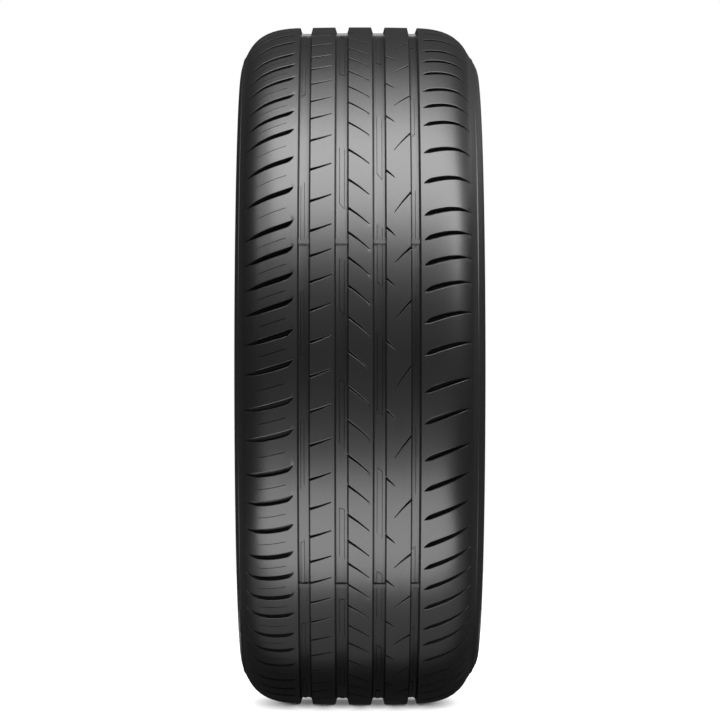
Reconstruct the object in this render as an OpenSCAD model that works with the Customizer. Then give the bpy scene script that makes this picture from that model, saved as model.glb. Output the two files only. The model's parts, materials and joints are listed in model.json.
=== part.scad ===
// Car tyre, 225/45 R18: one moulded rubber piece, standing upright on its tread.
// Origin at the wheel centre, axle along Y, up along Z. The tread faces +X, its left edge is at -Y.
// A radius is measured from the axle. A lateral place is measured along Y from the middle of the tread.
// An angle is measured about the axle from +X towards +Z.

/* [Overall size] */
// Diameter over the middle of the tread
outer_d = 659.7; // [640:0.1:680]
// Width over the sidewalls at their widest
section_w = 229; // [225:0.5:234]
// Diameter of the bead seat, where the rim carries the tyre
seat_d = 462; // [458:0.1:466]
// Distance between the flange faces of the two beads
rim_w = 190.5; // [184:0.5:197]
// Depth that the rubber gives way where it bears on the ground
contact_depth = 1; // [0:0.1:2]

/* [Section heights, as shares of the wall's height above the heel] */
// Upper end of the face that bears on the rim's flange
flange_face_share = 0.0325; // [0.02:0.0005:0.06]
// Middle of the rim protector
protector_share = 0.2057; // [0.18:0.0005:0.24]
// Widest line of the sidewall
widest_share = 0.4927; // [0.45:0.0005:0.53]
// Edge of the tread
edge_share = 0.7509; // [0.72:0.0005:0.78]

/* [Tread surface] */
// Radius of the crown across the tread
crown_radius = 2200; // [900:50:4000]
// Half width of the crown, up to where the shoulders begin to fall
crown_half_w = 57.5; // [57:0.1:60]
// Half width of the tread, up to its edge
tread_half_w = 105; // [103:0.5:107]
// Distance that the tread's shoulders stand to the left of the beads' middle
tread_shift = 1.8; // [0:0.1:3]
// Slope of the shoulder at the tread's edge, in degrees
edge_slope = 61; // [54:1:66]
// Fullness of the shoulder's curve
shoulder_fullness = 0.7; // [0.6:0.01:0.78]

/* [Wall thickness] */
// Thickness under the tread's surface at the middle
crown_t = 15.6; // [13:0.1:18]
// Thickness at the shoulder
shoulder_t = 17; // [14:0.5:20]
// Thickness of the sidewall at its widest
sidewall_t = 9.5; // [7:0.1:12]
// Thickness of the wall behind the rim protector
protector_t = 24; // [20:0.5:27]
// Thickness of the bead above its seat
bead_t = 18; // [15:0.5:20]

/* [Bead] */
// Radius of the heel, between the seat and the flange face
heel_r = 6.5; // [4:0.5:8]
// Length of the round seat along the axle
seat_len = 9.25; // [8:0.25:11]
// Length of the tapered toe, inboard of the seat
toe_len = 4; // [3:0.25:5]
// Drop of the toe below the seat
toe_drop = 0.6; // [0.2:0.1:1.2]

/* [Rim protector] */
// Distance of the protector's face from the middle of the tyre
protector_y = 109; // [107:0.5:111]
// Width of the protector's face
protector_face_w = 4; // [2:0.5:5]

/* [Main grooves] */
// Depth of the main grooves
groove_depth = 6.4; // [5:0.1:8]
// Lean of the grooves' walls, in degrees
groove_draft = 12; // [4:1:14]
// Lateral place of the far left groove
far_left_y = -51; // [-52:0.1:-50]
// Width of the far left groove
far_left_w = 11.6; // [8:0.1:12]
// Lateral place of the near left groove
near_left_y = -16.8; // [-19:0.1:-15]
// Width of the near left groove
near_left_w = 13; // [9:0.1:14]
// Lateral place of the near right groove
near_right_y = 17.6; // [15:0.1:19]
// Width of the near right groove
near_right_w = 12.7; // [9:0.1:14]
// Lateral place of the far right groove
far_right_y = 50.6; // [49:0.1:51]
// Width of the far right groove
far_right_w = 9.1; // [6:0.1:10]

/* [Wear bars] */
// Height of the wear bars above the grooves' floors
bar_h = 1.6; // [1:0.1:2.5]
// Length of a wear bar around the tread
bar_len = 5; // [4:0.5:9]

/* [Pitches] */
// Length of a short pitch against a middle one
short_pitch = 0.85; // [0.8:0.01:0.95]
// Length of a long pitch against a middle one
long_pitch = 1.18; // [1.05:0.01:1.25]
// Angle of the first pitch's upper end, in degrees
first_pitch_angle = 64.5; // [60:0.1:68]

/* [Left shoulder slots] */
// Land between the far left groove and the slots
left_land = 3.7; // [2:0.1:6]
// Greatest width of a slot
left_slot_w = 4.7; // [3:0.1:6]
// Width of a slot at the tread's edge
left_slot_end_w = 1.8; // [1:0.1:3]
// Fall of a slot around the tread, from its inner to its outer end
left_slot_fall = 13.8; // [8:0.1:18]
// Width of the fine cut between two slots
fine_cut_w = 0.9; // [0.5:0.1:1.5]
// Distance of the fine cut's inner end from the tread's edge
fine_cut_from = 39.6; // [30:0.1:41]
// Length of the fine cut across the tread
fine_cut_len = 26.8; // [15:0.1:29]

/* [Right shoulder slots] */
// Land between the far right groove and the slots
right_land = 3.1; // [2:0.1:6]
// Greatest width of a slot
right_slot_w = 5.3; // [3:0.1:6]
// Width of a slot at the tread's edge
right_slot_end_w = 2; // [1:0.1:3]
// Rise of a slot around the tread, from its inner to its outer end
right_slot_rise = 14.4; // [8:0.1:18]

/* [Shoulder slot depth] */
// Depth of the slots at the main grooves
slot_depth = 6; // [4:0.1:7]
// Depth of the slots at the tread's edge
slot_end_depth = 2.2; // [1:0.1:4]
// Land between the slots' outer ends and the tread's edge
slot_end_land = 1.3; // [0.6:0.1:4]

/* [Rib cuts] */
// Depth of the cuts in the three middle ribs
rib_cut_depth = 5; // [3:0.1:6]
// Width of a rib cut where it opens into its groove
rib_cut_w = 2.4; // [1.5:0.1:4]
// Width of a rib cut at its closed end
rib_cut_end_w = 0.9; // [0.5:0.1:1.4]
// Length across the left rib of its cuts
left_rib_cut_len = 19.2; // [14:0.1:20]
// Rise of the left rib's cuts around the tread
left_rib_cut_rise = 7; // [3:0.1:10]
// Length across the middle rib of its cuts
middle_rib_cut_len = 18.8; // [14:0.1:20]
// Fall of the middle rib's cuts around the tread
middle_rib_cut_fall = 16; // [10:0.1:19]
// Length across the right rib of its notches
notch_len = 7.5; // [5:0.1:8]
// Fall of the right rib's notches around the tread
notch_fall = 7.4; // [4:0.1:10]
// Length across the right rib of its long cuts
right_rib_cut_len = 14.8; // [10:0.1:15]
// Fall of the right rib's long cuts around the tread
right_rib_cut_fall = 17.5; // [12:0.1:22]

/* [Hidden] */

// The pitch lengths around the tread, from the first pitch downwards: short, middle or long
PITCH_ORDER = str("SSMSSLLLSSSMMLMLMMMSSSMSML",
                  "SSLMSSMLLSSSMLSSSLSMSSSMSLSSMLMSSLSSMLLSMSSLMSML");
// The angles of the wear bars about the axle
BAR_ANGLES = [20.4, 80, 143, 205, 264, 321.7];

// How far the closed ends of each row's cuts stand into their own pitch, as a share of it
LEFT_RIB_PHASE = 0.39;
MIDDLE_RIB_PHASE = 0.405;
NOTCH_PHASE = 0.858;
RIGHT_RIB_PHASE = 0.94;
// How far the left shoulder's slots stand below the right shoulder's, in degrees
LEFT_SHOULDER_LAG = 1.5;

// How far a cutting shape runs past the surface or groove that it opens into
OVERRUN = 1.5;
// How far the space over the slots' floors runs past the shoulder at each end
SPACE_MARGIN = 4;
// Bevel between a groove's floor and its walls
FLOOR_BEVEL = 0.8;
// How far a wear bar stands under the groove's floor
BAR_SINK = 2;
GROUND_T = 20;
// Where along its way a left shoulder slot is at its full width, on its upper and on its lower edge
LEFT_SLOT_KNEES = [0.08, 0.14];
// Where a right shoulder slot's slanted end starts, ends and reaches its lowest point, in slot widths
// above its middle, and how far along its way that point is
RIGHT_SLOT_END = [0.4, -0.16, -0.5];
RIGHT_SLOT_KNEE = 0.09;
// The shares of the shoulder's curve at which the slots' floor has its corners
SLOT_FLOOR_STATIONS = [0, 0.4, 0.75, 1];
RING_FACETS = 360;

outer_r = outer_d / 2;
seat_r = seat_d / 2;
half_w = section_w / 2;
// The wall runs from the heel's top to the middle of the tread
wall_h = outer_r - seat_r - heel_r;
function wall_at(share) = seat_r + heel_r + wall_h * share;
face_top_r = wall_at(flange_face_share);
protector_r = wall_at(protector_share);
widest_r = wall_at(widest_share);
edge_r = wall_at(edge_share);
clear_r = outer_r + 4;

// A point on a cubic curve, and a run of such points
function bend(a, b, c, d, t) =
    pow(1 - t, 3) * a + 3 * t * pow(1 - t, 2) * b + 3 * t * t * (1 - t) * c + pow(t, 3) * d;
function curve(a, b, c, d, steps) = [for (i = [0:steps]) bend(a, b, c, d, i / steps)];
function without_first(points) = [for (i = [1:len(points) - 1]) points[i]];
function reversed(points) = [for (i = [len(points) - 1:-1:0]) points[i]];
function mirrored(points) = [for (p = points) [p[0], -p[1]]];

// The radius of the crown at a lateral place
function crown_at(y) = outer_r - (crown_radius - sqrt(pow(crown_radius, 2) - y * y));

// The section's points are [radius, distance from the beads' middle], for the right-hand side (side 1)
// or for the left-hand side mirrored (side -1). A slope's direction is outward and down.
function crown_end(side) =
    [crown_at(crown_half_w), crown_half_w - side * tread_shift];
function tread_edge(side) = [edge_r, tread_half_w - side * tread_shift];
crown_slope = asin(crown_half_w / crown_radius);
crown_dir = [-sin(crown_slope), cos(crown_slope)];
edge_dir = [-sin(edge_slope), cos(edge_slope)];
// The distances along the two directions to the point where they cross
cross_det = crown_dir[0] * edge_dir[1] - crown_dir[1] * edge_dir[0];
gap_to_edge = tread_edge(1) - crown_end(1);
crown_reach = (gap_to_edge[0] * edge_dir[1] - gap_to_edge[1] * edge_dir[0]) / cross_det;
edge_reach = (crown_dir[0] * gap_to_edge[1] - crown_dir[1] * gap_to_edge[0]) / cross_det;

function shoulder_point(side, t) =
    bend(crown_end(side), crown_end(side) + crown_dir * crown_reach * shoulder_fullness,
         tread_edge(side) - edge_dir * edge_reach * shoulder_fullness, tread_edge(side), t);
// The outward normal of the shoulder at t
function shoulder_normal(t) =
    let (d = shoulder_point(1, min(t + 0.01, 1)) - shoulder_point(1, max(t - 0.01, 0)))
    [d[1], -d[0]] / norm(d);

// The middle rib is round and the next two are slightly conical, with the changes inside the grooves
SHOULDER_STATIONS = [0.27, 0.48, 0.65, 0.8, 1];
function tread_line(side) = concat(
    [[outer_r, near_right_y], [crown_at(far_right_y), far_right_y], crown_end(side)],
    [for (t = SHOULDER_STATIONS) shoulder_point(side, t)]);

// A curve between two heights, whose ends keep a lean: handle shares of its height and sideways reaches
function wall_curve(from, to, lean_from, lean_to, steps) =
    let (h = to[0] - from[0])
    without_first(curve(from, from + [h * lean_from[0], lean_from[1]],
                        to - [h * lean_to[0], lean_to[1]], to, steps));

// Sidewall, from the tread's edge over its widest line to the valley above the rim protector
FLANK_REACH = 0.38;
VALLEY_SHARE = 0.2245;
VALLEY_INSET = 0.6;
flank_h = edge_r - widest_r;
widest = [widest_r, half_w];
function upper_sidewall(side) = without_first(
    curve(tread_edge(side), tread_edge(side) + edge_dir * flank_h * FLANK_REACH,
          widest + [flank_h * FLANK_REACH, 0], widest, 6));
protector_top = [protector_r + protector_face_w / 2, protector_y];
protector_low = [protector_r - protector_face_w / 2, protector_y];
valley = protector_top + [(widest_r - protector_top[0]) * VALLEY_SHARE, -VALLEY_INSET];
lower_sidewall = wall_curve(widest, valley, [0.4, 0], [0.35, 0], 5);
// Rim side of the protector, down to the flange face
face_top = [face_top_r, rim_w / 2];
under_protector = wall_curve(protector_low, face_top, [0.286, -8], [0.5, 0], 6);
heel = [for (i = [0:5]) let (a = 90 * i / 5)
    [seat_r + heel_r - heel_r * sin(a), rim_w / 2 - heel_r + heel_r * cos(a)]];
TOE_ROUND = 0.8;
seat_end_y = rim_w / 2 - heel_r - seat_len;
toe_y = seat_end_y - toe_len;
sole = [[seat_r, seat_end_y], [seat_r - toe_drop, toe_y + TOE_ROUND], [seat_r + toe_drop, toe_y]];

function outer_line(side) = concat(
    tread_line(side), upper_sidewall(side), lower_sidewall, [protector_top, protector_low],
    under_protector, heel, sole);

// Inner surface, from the bead's toe up the wall and over under the crown
INNER_BEAD_SHARE = 0.47;
INNER_WIDEST_SHARE = 0.56;
INNER_SHOULDER_STATION = 0.75;
inner_bead = [seat_r + (protector_r - seat_r) * INNER_BEAD_SHARE, rim_w / 2 - bead_t];
inner_protector = [protector_r, protector_y - protector_t];
function inner_shoulder(side) = shoulder_point(side, INNER_SHOULDER_STATION)
    - shoulder_normal(INNER_SHOULDER_STATION) * shoulder_t;
inner_widest_r = protector_r + (inner_shoulder(1)[0] - protector_r) * INNER_WIDEST_SHARE;
inner_widest = [inner_widest_r, half_w - sidewall_t];
function inner_crown_end(side) = crown_end(side) - [crown_t, 0];
function inner_line(side) = concat(
    [inner_bead],
    wall_curve(inner_bead, inner_protector, [0.44, 1.5], [0.37, 3.5], 3),
    wall_curve(inner_protector, inner_widest, [0.26, 5], [0.38, 0], 5),
    wall_curve(inner_widest, inner_shoulder(side), [0.5, 0], [0.17, -7], 5),
    wall_curve(inner_shoulder(side), inner_crown_end(side), [0.57, -7], [0, -12], 4));

function half_outline(side) = concat(outer_line(side), inner_line(side));
outline = concat(half_outline(1), [[outer_r - crown_t, 0]], reversed(mirrored(half_outline(-1))));

// Pitches: the angle of each pitch's upper end, and each pitch's length in degrees
function pitch_weight(letter) = letter == "S" ? short_pitch : letter == "L" ? long_pitch : 1;
pitch_weights = [for (letter = PITCH_ORDER) pitch_weight(letter)];
function sum_to(list, n) = n <= 0 ? 0 : list[n - 1] + sum_to(list, n - 1);
pitches = len(PITCH_ORDER);
middle_pitch = 360 / sum_to(pitch_weights, pitches);
function pitch_deg(i) = pitch_weights[i] * middle_pitch;
function pitch_angle(i) = first_pitch_angle - sum_to(pitch_weights, i) * middle_pitch;
function in_pitch(i, share) = pitch_angle(i) - share * pitch_deg(i);

// Turns a piece modelled along +X to an angle about the axle
module at_angle(angle) rotate([0, -angle, 0]) children();

// A cut through the tread from radius from_r outwards, standing on +X. Its plan's points are
// [lateral place, distance around the tread].
module cut_prism(plan, from_r) {
    rotate(a = 120, v = [1, 1, 1])
        translate([0, 0, from_r])
            linear_extrude(clear_r - from_r) polygon(plan);
}

// The plan of a cut along a centre line of [lateral place, distance around, width] stations
function ribbon(stations) = concat(
    [for (s = stations) [s[0], s[1] + s[2] / 2]],
    [for (s = reversed(stations)) [s[0], s[1] - s[2] / 2]]);

module groove_ring(y, w) {
    top_r = crown_at(y) + OVERRUN;
    floor_r = crown_at(y) - groove_depth;
    lean = tan(groove_draft);
    half_top = w / 2 + OVERRUN * lean;
    half_floor = w / 2 - groove_depth * lean;
    bevel_r = floor_r + FLOOR_BEVEL;
    half_bevel = half_floor + FLOOR_BEVEL * lean;
    rotate([-90, 0, 0]) rotate_extrude($fn = RING_FACETS)
        polygon([[top_r, y - half_top], [bevel_r, y - half_bevel],
                 [floor_r, y - half_floor + FLOOR_BEVEL], [floor_r, y + half_floor - FLOOR_BEVEL],
                 [bevel_r, y + half_bevel], [top_r, y + half_top]]);
}

// Wear bars: low blocks that stay standing across one main groove
module wear_bars(y, w) {
    floor_r = crown_at(y) - groove_depth;
    for (angle = BAR_ANGLES) at_angle(angle)
        translate([floor_r - BAR_SINK, y - w / 2 - OVERRUN, -bar_len / 2])
            cube([BAR_SINK + bar_h, w + 2 * OVERRUN, bar_len]);
}

module main_grooves() {
    grooves = [[far_left_y, far_left_w], [near_left_y, near_left_w],
               [near_right_y, near_right_w], [far_right_y, far_right_w]];
    for (g = grooves) difference() {
        groove_ring(g[0], g[1]);
        wear_bars(g[0], g[1]);
    }
}

// The space over the shoulder slots' floors, on both sides: the shoulder's surface less the depth
module slot_space() {
    for (side = [-1, 1]) {
        floor_line = [for (t = SLOT_FLOOR_STATIONS) shoulder_point(side, t)
            - shoulder_normal(t) * (slot_depth + (slot_end_depth - slot_depth) * t)];
        from_y = crown_end(side)[1] - SPACE_MARGIN;
        to_y = tread_edge(side)[1] + SPACE_MARGIN;
        space = concat([[clear_r, from_y], [floor_line[0][0], from_y]],
                       floor_line, [[edge_r, to_y], [clear_r, to_y]]);
        rotate([-90, 0, 0]) rotate_extrude($fn = RING_FACETS)
            polygon(side > 0 ? space : mirrored(space));
    }
}

module left_shoulder_slot(stretch) {
    inner = far_left_y - far_left_w / 2 - left_land;
    run = slot_end_land - tread_edge(-1)[1] - inner;
    fall = -left_slot_fall * stretch;
    cut_prism([[inner, 0],
               [inner + run * LEFT_SLOT_KNEES[0], fall * LEFT_SLOT_KNEES[0] + left_slot_w / 2],
               [inner + run, fall + left_slot_end_w / 2],
               [inner + run, fall - left_slot_end_w / 2],
               [inner + run * LEFT_SLOT_KNEES[1], fall * LEFT_SLOT_KNEES[1] - left_slot_w / 2]],
              edge_r - slot_depth);
}

module fine_cut(stretch) {
    inner = -tread_edge(-1)[1] + fine_cut_from;
    slant = left_slot_fall * stretch / (tread_edge(-1)[1] + far_left_y - far_left_w / 2 - left_land
                                        - slot_end_land);
    cut_prism(ribbon([[inner, 0, fine_cut_w],
                      [inner - fine_cut_len, -slant * fine_cut_len, fine_cut_w]]),
              edge_r - slot_depth);
}

module right_shoulder_slot(stretch) {
    inner = far_right_y + far_right_w / 2 + right_land;
    run = tread_edge(1)[1] - slot_end_land - inner;
    rise = right_slot_rise * stretch;
    cut_prism([[inner, right_slot_w * RIGHT_SLOT_END[0]],
               [inner, right_slot_w * RIGHT_SLOT_END[1]],
               [inner + run * RIGHT_SLOT_KNEE,
                rise * RIGHT_SLOT_KNEE + right_slot_w * RIGHT_SLOT_END[2]],
               [inner + run, rise - right_slot_end_w / 2],
               [inner + run, rise + right_slot_end_w / 2]], edge_r - slot_depth);
}

module shoulder_slots() intersection() {
    slot_space();
    for (i = [0:pitches - 1]) {
        at_angle(pitch_angle(i)) right_shoulder_slot(pitch_weights[i]);
        at_angle(pitch_angle(i) - LEFT_SHOULDER_LAG) left_shoulder_slot(pitch_weights[i]);
        at_angle(in_pitch(i, 0.5) - LEFT_SHOULDER_LAG) fine_cut(pitch_weights[i]);
    }
}

// A cut that opens into a groove's edge at lateral place y and runs len across its rib, rising as it goes
// by rise. Its closed end stands on +X.
module rib_cut(y, len, rise) {
    side = sign(len);
    slant = rise / abs(len);
    cut_prism(ribbon([[y - side * OVERRUN, -rise - slant * OVERRUN, rib_cut_w],
                      [y + len, 0, rib_cut_end_w]]), outer_r - rib_cut_depth);
}

module rib_cuts() {
    left_rib_y = far_left_y + far_left_w / 2;
    middle_rib_y = near_left_y + near_left_w / 2;
    right_rib_y = near_right_y + near_right_w / 2;
    right_rib_end_y = far_right_y - far_right_w / 2;
    for (i = [0:pitches - 1]) {
        at_angle(in_pitch(i, LEFT_RIB_PHASE))
            rib_cut(left_rib_y, left_rib_cut_len, left_rib_cut_rise);
        at_angle(in_pitch(i, MIDDLE_RIB_PHASE))
            rib_cut(middle_rib_y, middle_rib_cut_len, -middle_rib_cut_fall);
        if (i % 2 == 0) at_angle(in_pitch(i, NOTCH_PHASE))
            rib_cut(right_rib_y, notch_len, -notch_fall);
        if (i % 2 == 1) at_angle(in_pitch(i, RIGHT_RIB_PHASE))
            rib_cut(right_rib_end_y, -right_rib_cut_len,
                    -right_rib_cut_fall * pitch_weights[i]);
    }
}

// The ground under the tyre, up to the flat that the rubber makes on it
module ground() {
    translate([-outer_r, -half_w, -outer_r - GROUND_T])
        cube([outer_d, section_w, GROUND_T + contact_depth]);
}

module tyre() {
    color([0.11, 0.11, 0.115]) difference() {
        rotate([-90, 0, 0]) rotate_extrude($fn = RING_FACETS) polygon(outline);
        main_grooves();
        shoulder_slots();
        rib_cuts();
        if (contact_depth > 0) ground();
    }
}

tyre();
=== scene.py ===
"""The looks of a car tyre: its moulded rubber from bead to bead, and the plain studio it stands in.

Sizes are in millimetres until a mesh is made, and angles are in degrees. A lateral place is measured
along the axle (Y) from the middle of the tread. An angle is measured about the axle from +X towards +Z.
The tread's sizes repeat those of the part's source, with finer edges.
"""
import json
import logging
import math
from dataclasses import dataclass, field
from enum import Enum

import bpy
import numpy as np
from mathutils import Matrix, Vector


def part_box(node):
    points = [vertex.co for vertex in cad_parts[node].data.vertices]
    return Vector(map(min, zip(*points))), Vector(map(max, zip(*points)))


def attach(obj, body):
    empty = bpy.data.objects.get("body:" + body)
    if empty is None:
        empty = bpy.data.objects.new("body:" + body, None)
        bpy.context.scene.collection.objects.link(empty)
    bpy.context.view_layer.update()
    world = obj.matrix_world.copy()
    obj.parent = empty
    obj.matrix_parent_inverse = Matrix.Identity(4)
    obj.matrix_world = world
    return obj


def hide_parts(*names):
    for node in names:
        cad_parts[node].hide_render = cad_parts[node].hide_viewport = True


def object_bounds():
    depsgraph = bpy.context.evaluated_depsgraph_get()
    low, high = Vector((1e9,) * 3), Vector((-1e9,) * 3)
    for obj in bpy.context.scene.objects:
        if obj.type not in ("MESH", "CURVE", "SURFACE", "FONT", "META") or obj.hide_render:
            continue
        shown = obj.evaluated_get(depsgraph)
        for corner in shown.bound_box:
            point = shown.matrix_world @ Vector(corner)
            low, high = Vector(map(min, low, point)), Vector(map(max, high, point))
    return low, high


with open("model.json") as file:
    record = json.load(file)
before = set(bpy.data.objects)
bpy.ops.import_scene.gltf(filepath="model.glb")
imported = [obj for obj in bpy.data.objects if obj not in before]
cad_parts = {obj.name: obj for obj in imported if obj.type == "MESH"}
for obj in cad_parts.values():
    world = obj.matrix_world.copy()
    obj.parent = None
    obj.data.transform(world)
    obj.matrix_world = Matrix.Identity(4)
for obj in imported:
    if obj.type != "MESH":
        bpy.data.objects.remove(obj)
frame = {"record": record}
CAD_LOW, CAD_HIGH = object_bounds()

MM = 0.001
NODE = "tyre"
BODY = "root"
CREASE = 20
PEBBLE_SCALE = 900
PATCH_SCALE = 11

Pair = tuple[np.ndarray, np.ndarray]
Triple = tuple[np.ndarray, np.ndarray, np.ndarray]
Numbers = tuple[float, ...]
Faces = list[list[int]]

log = logging.getLogger("tyre")


class Skin(Enum):
    """The finishes of the tyre's surface, in the order of its material slots."""

    TREAD = 0
    SIDEWALL = 1
    LINER = 2


def bend(a: np.ndarray, b: np.ndarray, c: np.ndarray, d: np.ndarray, t: np.ndarray) -> np.ndarray:
    """Points on a cubic curve: the four corners weighted by the Bernstein terms of t.

    Args:
        a, b, c, d: the curve's corner points, each with two coordinates.
        t: the places along the curve, from 0 to 1.

    Returns:
        An array with one row of two coordinates per place.
    """
    t = np.asarray(t, float)[:, None]
    s = 1 - t
    return s**3 * a + 3 * t * s**2 * b + 3 * t**2 * s * c + t**3 * d


def even(count: int) -> np.ndarray:
    """Evenly spaced places from 0 to 1, without the first.

    Args:
        count: how many places.

    Returns:
        The places.
    """
    return np.arange(1, count + 1) / count


def degrees_at(distance: np.ndarray, radius: float) -> np.ndarray:
    """The angle that a distance around the tread spans.

    Args:
        distance: distances around, in millimetres.
        radius: the radius that they are measured at.

    Returns:
        The angles in degrees.
    """
    return np.degrees(distance / radius)


def mesh_object(name: str, points: np.ndarray, faces: Faces,
                skins: np.ndarray | None = None) -> bpy.types.Object:
    """Makes a closed mesh from points in millimetres, facing outwards, with creases left sharp.

    The signed volume is the sum over faces of the first corner dotted with the cross product of the
    next two. Where it is negative, every face is turned over.

    Args:
        name: the object's name.
        points: one row of x, y, z per vertex.
        faces: the faces' vertex numbers.
        skins: the material slot of each face.

    Returns:
        The object, at the origin.
    """
    mesh = bpy.data.meshes.new(name)
    mesh.from_pydata((points * MM).tolist(), [], faces)
    mesh.update()
    corners = np.array([face[:3] for face in faces])
    a, b, c = (points[corners[:, k]] for k in range(3))
    if np.einsum("ij,ij->i", a, np.cross(b, c)).sum() < 0:
        mesh.flip_normals()
    if skins is not None:
        mesh.polygons.foreach_set("material_index", skins.astype(np.int32))
    mesh.shade_smooth()
    mesh.set_sharp_from_angle(angle=math.radians(CREASE))
    obj = bpy.data.objects.new(name, mesh)
    bpy.context.scene.collection.objects.link(obj)
    return obj


@dataclass(frozen=True)
class Section:
    """The tyre's cross-section, as [lateral place, radius] points.

    Each side is worked out with the distance from the middle first, and the left one is then mirrored.
    The shares that wall_at takes are parts of the wall's height above the heel, and the others are parts
    of the span they lie in. A name that ends in _t is a thickness, and a fullness is how far a curve's
    inner corners stand from its ends.
    """

    outer_r: float
    contact_r: float
    half_w: float
    seat_r: float
    crown_radius: float = 2200
    crown_half_w: float = 57.5
    tread_half_w: float = 105
    tread_shift: float = 1.8
    edge_slope: float = 61
    shoulder_fullness: float = 0.7
    flange_face_share: float = 0.0325
    protector_share: float = 0.2057
    widest_share: float = 0.4927
    edge_share: float = 0.7509
    crown_t: float = 15.6
    shoulder_t: float = 17
    sidewall_t: float = 9.5
    protector_t: float = 24
    bead_t: float = 18
    rim_half_w: float = 95.25
    heel_r: float = 6.5
    seat_len: float = 9.25
    toe_len: float = 4
    toe_drop: float = 0.6
    protector_y: float = 109
    protector_face_w: float = 4
    flank_fullness: float = 0.38
    belly_fullness: float = 0.4
    valley_fullness: float = 0.35
    valley_share: float = 0.2245
    valley_inset: float = 0.6
    bead_top_share: float = 0.47
    wall_mid_share: float = 0.56

    CROWN_SAMPLES = 200
    SHOULDER_SAMPLES = 400
    SIDEWALL_SAMPLES = 60
    RING_STATIONS = (21.6, 19.4, 17.0, 16.6, 15.2, 14.8, 11, 7, 3, 0, -3.5, -6.5, -8.6, -9.0, -10.4,
                     -10.8, -13.5)
    RING_HEIGHTS = (0, 0, 0, 0.5, 0.5, 0, 0, 0, 0, 0, 0, 0, 0, 0.5, 0.5, 0, 0)

    def wall_at(self, share: float) -> float:
        """The radius at a share of the wall's height above the heel."""
        foot = self.seat_r + self.heel_r
        return foot + (self.outer_r - foot) * share

    def edge(self, side: int) -> np.ndarray:
        """The tread's edge, where the sidewall begins, on the right (side 1) or the left (side -1)."""
        return np.array([self.tread_half_w - side * self.tread_shift, self.wall_at(self.edge_share)])

    @property
    def widest(self) -> np.ndarray:
        """The sidewall's widest place."""
        return np.array([self.half_w, self.wall_at(self.widest_share)])

    @property
    def protector(self) -> np.ndarray:
        """The middle of the rim protector's face."""
        return np.array([self.protector_y, self.wall_at(self.protector_share)])

    def crown_at(self, y: np.ndarray) -> np.ndarray:
        """The crown's radius: a shallow arc that falls away on each side.

        Args:
            y: lateral places.

        Returns:
            The radii.
        """
        return self.outer_r - (self.crown_radius - np.sqrt(self.crown_radius**2 - np.square(y)))

    def shoulder(self, side: int, t: np.ndarray) -> np.ndarray:
        """The shoulder's curve: a cubic, tangent to the crown's end and to the slope at the tread's edge.

        Args:
            side: 1 for the right shoulder, -1 for the left one.
            t: places along the curve, from 0 to 1.

        Returns:
            Points on the curve, with the distance from the middle as their first coordinate.
        """
        edge = self.edge(side)
        start_y = self.crown_half_w - side * self.tread_shift
        start = np.array([start_y, float(self.crown_at(self.crown_half_w))])
        crown_slope = math.asin(self.crown_half_w / self.crown_radius)
        edge_slope = math.radians(self.edge_slope)
        along = np.array([math.cos(crown_slope), -math.sin(crown_slope)])
        back = np.array([math.cos(edge_slope), -math.sin(edge_slope)])
        reach = np.linalg.solve(np.array([along, back]).T, edge - start)
        return bend(start, start + along * reach[0] * self.shoulder_fullness,
                    edge - back * reach[1] * self.shoulder_fullness, edge, t)

    def surface(self, y: np.ndarray) -> Pair:
        """The tread's surface before anything is cut into it.

        Args:
            y: lateral places, negative on the left.

        Returns:
            The surface's points, and its outward normals, both as [lateral place, radius].
        """
        halves = []
        for side in (-1, 1):
            fine = self.shoulder(side, np.linspace(0, 1, self.SHOULDER_SAMPLES))
            crown_y = np.linspace(0, fine[0, 0], self.CROWN_SAMPLES)[:-1]
            half = np.vstack([np.column_stack([crown_y, self.crown_at(crown_y)]), fine])
            halves.append(half * [side, 1])
        line = np.vstack([halves[0][:0:-1], halves[1]])
        slope = np.gradient(line[:, 1], line[:, 0])
        r = np.interp(y, line[:, 0], line[:, 1])
        fall = np.interp(y, line[:, 0], slope)
        normal = np.column_stack([-fall, np.ones_like(fall)])
        normal /= np.linalg.norm(normal, axis=1)[:, None]
        return np.column_stack([y, r]), normal

    def sidewall(self, side: int) -> np.ndarray:
        """The outside from below the tread's edge to the protector's upper corner.

        Two cubic curves meet at the widest line. Two raised rings are added sideways by a height that is
        piecewise linear over the radius, from stations counted from the widest line.

        Args:
            side: 1 for the right-hand side, -1 for the left.

        Returns:
            Points from the tread's edge inwards, with the distance from the middle first.
        """
        edge = self.edge(side)
        flank = edge[1] - self.widest[1]
        slope = math.radians(self.edge_slope)
        down = np.array([math.cos(slope), -math.sin(slope)])
        t = np.linspace(0, 1, self.SIDEWALL_SAMPLES)
        upper = bend(edge, edge + down * flank * self.flank_fullness,
                     self.widest + [0, flank * self.flank_fullness], self.widest, t)
        top = self.protector + [0, self.protector_face_w / 2]
        valley = top + [-self.valley_inset, (self.widest[1] - top[1]) * self.valley_share]
        drop = self.widest[1] - valley[1]
        lower = bend(self.widest, self.widest - [0, drop * self.belly_fullness],
                     valley + [0, drop * self.valley_fullness], valley, t)
        line = np.vstack([upper, lower[1:]])
        r = self.widest[1] + np.array(self.RING_STATIONS)
        y = np.interp(-r, -line[:, 1], line[:, 0]) + np.array(self.RING_HEIGHTS)
        return np.vstack([np.column_stack([y, r]), valley])

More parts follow.
